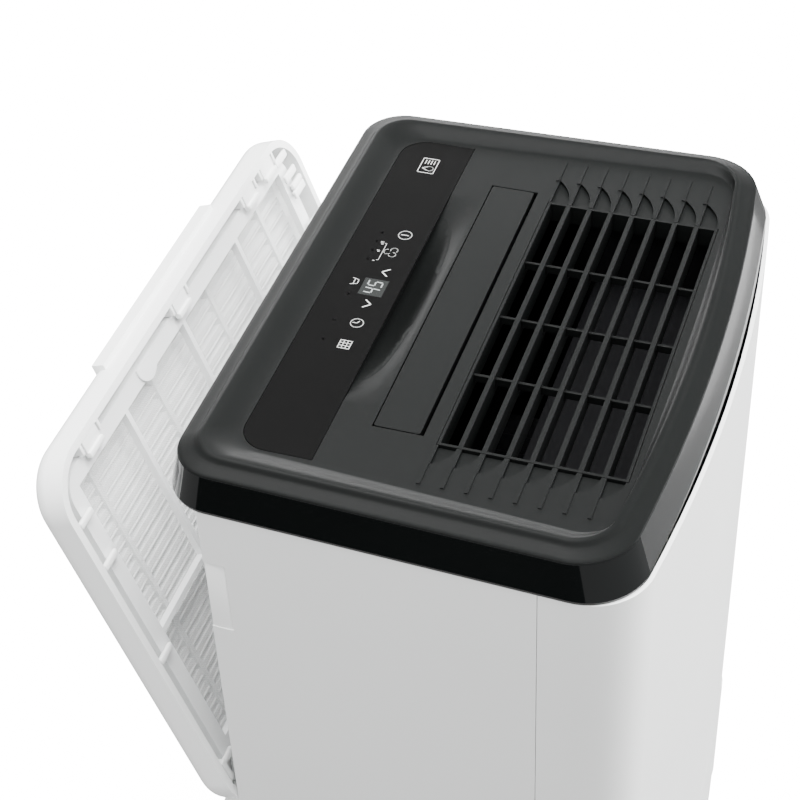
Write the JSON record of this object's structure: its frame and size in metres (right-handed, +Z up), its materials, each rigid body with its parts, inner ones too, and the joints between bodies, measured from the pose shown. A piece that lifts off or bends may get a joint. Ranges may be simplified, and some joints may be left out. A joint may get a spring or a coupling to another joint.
{
  "type": "dehumidifier",
  "caption": "Upright portable dehumidifier with a lift-out water bucket, top air outlet and control panel, carry handle, casters and a tilting rear intake grille with filter.",
  "frame": {"origin": "on the floor under the middle of the whole object, rear grille tilted open", "axes": "+Z up, front face towards -Y, rear grille towards +Y, +X to the right seen from the front"},
  "size_m": [0.3944, 0.3834, 0.6166],
  "materials": {
    "white_plastic": "satin moulded",
    "grille_plastic": "satin moulded",
    "filter_plastic": "matte moulded",
    "filter_net": "fine woven net",
    "deck_plastic": "fine matte texture",
    "band_gloss": "polished",
    "lip_grey": "matte",
    "panel_sheet": "satin printed sheet",
    "display_lens": "smoked",
    "board": "lacquered board",
    "light": "clear",
    "key_plastic": "matte",
    "base_plastic": "matte",
    "inner_plastic": "matte",
    "galvanised": "galvanised",
    "fin_aluminium": "bare",
    "copper": "copper tube",
    "compressor_paint": "gloss enamel",
    "rubber": "matte",
    "bucket_plastic": "satin moulded",
    "window_clear": "clear",
    "float_foam": "foam",
    "caster_plastic": "matte",
    "screw_steel": "zinc plated"
  },
  "bodies": {
    "housing": {"base_pan": "base_plastic", "rear_housing": "white_plastic", "front_housing": "white_plastic", "partition": "inner_plastic", "top_band": "band_gloss", "band_lip": "lip_grey", "top_cover": "deck_plastic", "outlet_grille": "deck_plastic", "control_panel": "panel_sheet", "display_window": "display_lens", "control_board": "board", "indicator_lights": "light", "handle_well": "deck_plastic", "evaporator_fins": "fin_aluminium", "evaporator_tubes": "copper", "condenser_fins": "fin_aluminium", "condenser_tubes": "copper", "compressor": "compressor_paint", "compressor_grommets": "rubber", "discharge_pipe": "copper", "suction_pipe": "copper", "capillary_tube": "copper", "drip_tray": "inner_plastic", "fan_scroll": "inner_plastic", "fan_motor": "galvanised", "electrical_box": "galvanised", "run_capacitor": "galvanised", "reed_sensor": "key_plastic", "cord_gland": "rubber", "drain_spigot": "white_plastic", "housing_screws": "screw_steel", "side_wall_left": "white_plastic", "side_wall_right": "white_plastic", "rear_corner_left": "white_plastic", "rear_corner_right": "white_plastic", "intake_frame": "white_plastic"},
    "carry_handle": {"carry_handle": "deck_plastic"},
    "grille_guides": {"grille_guides": "grille_plastic"},
    "rear_grille": {"rear_grille": "grille_plastic"},
    "air_filter": {"filter_frame": "filter_plastic", "filter_mesh": "filter_net"},
    "bucket": {"bucket": "bucket_plastic", "bucket_window": "window_clear"},
    "bucket_handle": {"bucket_handle": "bucket_plastic"},
    "float_arm": {"float_arm": "float_foam"},
    "fan": {"fan_wheel": "inner_plastic", "fan_shaft": "screw_steel"},
    "power_key": {"power_key": "key_plastic"},
    "fan_speed_key": {"fan_speed_key": "key_plastic"},
    "up_key": {"up_key": "key_plastic"},
    "down_key": {"down_key": "key_plastic"},
    "timer_key": {"timer_key": "key_plastic"},
    "filter_reset_key": {"filter_reset_key": "key_plastic"},
    "caster_1": {"caster_fork_1": "caster_plastic"},
    "caster_wheel_1": {"caster_wheel_1": "caster_plastic"},
    "caster_2": {"caster_fork_2": "caster_plastic"},
    "caster_wheel_2": {"caster_wheel_2": "caster_plastic"},
    "caster_3": {"caster_fork_3": "caster_plastic"},
    "caster_wheel_3": {"caster_wheel_3": "caster_plastic"},
    "caster_4": {"caster_fork_4": "caster_plastic"},
    "caster_wheel_4": {"caster_wheel_4": "caster_plastic"}
  },
  "joints": [
    {"name": "handle_lift", "type": "slide", "parent": "housing", "child": "carry_handle", "axis": [0, 0, 1], "range_m": [0, 0.038]},
    {"name": "grille_tilt", "type": "hinge", "parent": "grille_guides", "child": "rear_grille", "pos_m": [0, 0.09075, 0.3175], "axis": [-1, 0, 0], "range_deg": [-19, 0]},
    {"name": "grille_rise", "type": "slide", "parent": "housing", "child": "grille_guides", "axis": [0, 0, 1], "range_m": [-0.0166, 0]},
    {"name": "filter_tilt", "type": "hinge", "parent": "rear_grille", "child": "air_filter", "pos_m": [0, 0.09418, 0.33853], "axis": [1, 0, 0], "range_deg": [0, 12]},
    {"name": "bucket_slide", "type": "slide", "parent": "housing", "child": "bucket", "axis": [0, -1, 0], "range_m": [0, 0.16]},
    {"name": "bucket_handle_turn", "type": "hinge", "parent": "bucket", "child": "bucket_handle", "pos_m": [0, -0.09525, 0.154], "axis": [-1, 0, 0], "range_deg": [0, 90]},
    {"name": "float_turn", "type": "hinge", "parent": "bucket", "child": "float_arm", "pos_m": [-0.12, -0.05125, 0.132], "axis": [-1, 0, 0], "range_deg": [0, 10]},
    {"name": "fan_spin", "type": "hinge", "parent": "housing", "child": "fan", "pos_m": [0, -0.04725, 0.395], "axis": [0, 1, 0], "continuous": true},
    {"name": "power_press", "type": "slide", "parent": "housing", "child": "power_key", "axis": [0, 0, -1], "range_m": [0, 0.0008], "stiffness_N_per_m": 600, "springref_m": -0.0002},
    {"name": "fan_speed_press", "type": "slide", "parent": "housing", "child": "fan_speed_key", "axis": [0, 0, -1], "range_m": [0, 0.0008], "stiffness_N_per_m": 600, "springref_m": -0.0002},
    {"name": "up_press", "type": "slide", "parent": "housing", "child": "up_key", "axis": [0, 0, -1], "range_m": [0, 0.0008], "stiffness_N_per_m": 600, "springref_m": -0.0002},
    {"name": "down_press", "type": "slide", "parent": "housing", "child": "down_key", "axis": [0, 0, -1], "range_m": [0, 0.0008], "stiffness_N_per_m": 600, "springref_m": -0.0002},
    {"name": "timer_press", "type": "slide", "parent": "housing", "child": "timer_key", "axis": [0, 0, -1], "range_m": [0, 0.0008], "stiffness_N_per_m": 600, "springref_m": -0.0002},
    {"name": "filter_reset_press", "type": "slide", "parent": "housing", "child": "filter_reset_key", "axis": [0, 0, -1], "range_m": [0, 0.0008], "stiffness_N_per_m": 600, "springref_m": -0.0002},
    {"name": "caster_1_swivel", "type": "hinge", "parent": "housing", "child": "caster_1", "pos_m": [-0.168, -0.14925, 0.03], "axis": [0, 0, 1], "continuous": true},
    {"name": "caster_1_roll", "type": "hinge", "parent": "caster_1", "child": "caster_wheel_1", "pos_m": [-0.168, -0.14025, 0.012], "axis": [1, 0, 0], "continuous": true},
    {"name": "caster_2_swivel", "type": "hinge", "parent": "housing", "child": "caster_2", "pos_m": [0.168, -0.14925, 0.03], "axis": [0, 0, 1], "continuous": true},
    {"name": "caster_2_roll", "type": "hinge", "parent": "caster_2", "child": "caster_wheel_2", "pos_m": [0.168, -0.14025, 0.012], "axis": [1, 0, 0], "continuous": true},
    {"name": "caster_3_swivel", "type": "hinge", "parent": "housing", "child": "caster_3", "pos_m": [-0.168, 0.04875, 0.03], "axis": [0, 0, 1], "continuous": true},
    {"name": "caster_3_roll", "type": "hinge", "parent": "caster_3", "child": "caster_wheel_3", "pos_m": [-0.168, 0.05775, 0.012], "axis": [1, 0, 0], "continuous": true},
    {"name": "caster_4_swivel", "type": "hinge", "parent": "housing", "child": "caster_4", "pos_m": [0.168, 0.04875, 0.03], "axis": [0, 0, 1], "continuous": true},
    {"name": "caster_4_roll", "type": "hinge", "parent": "caster_4", "child": "caster_wheel_4", "pos_m": [0.168, 0.05775, 0.012], "axis": [1, 0, 0], "continuous": true}
  ],
  "couplings": [
    {"joint": "grille_rise", "follows": "grille_tilt", "m_per_rad": 0.049757}
  ]
}
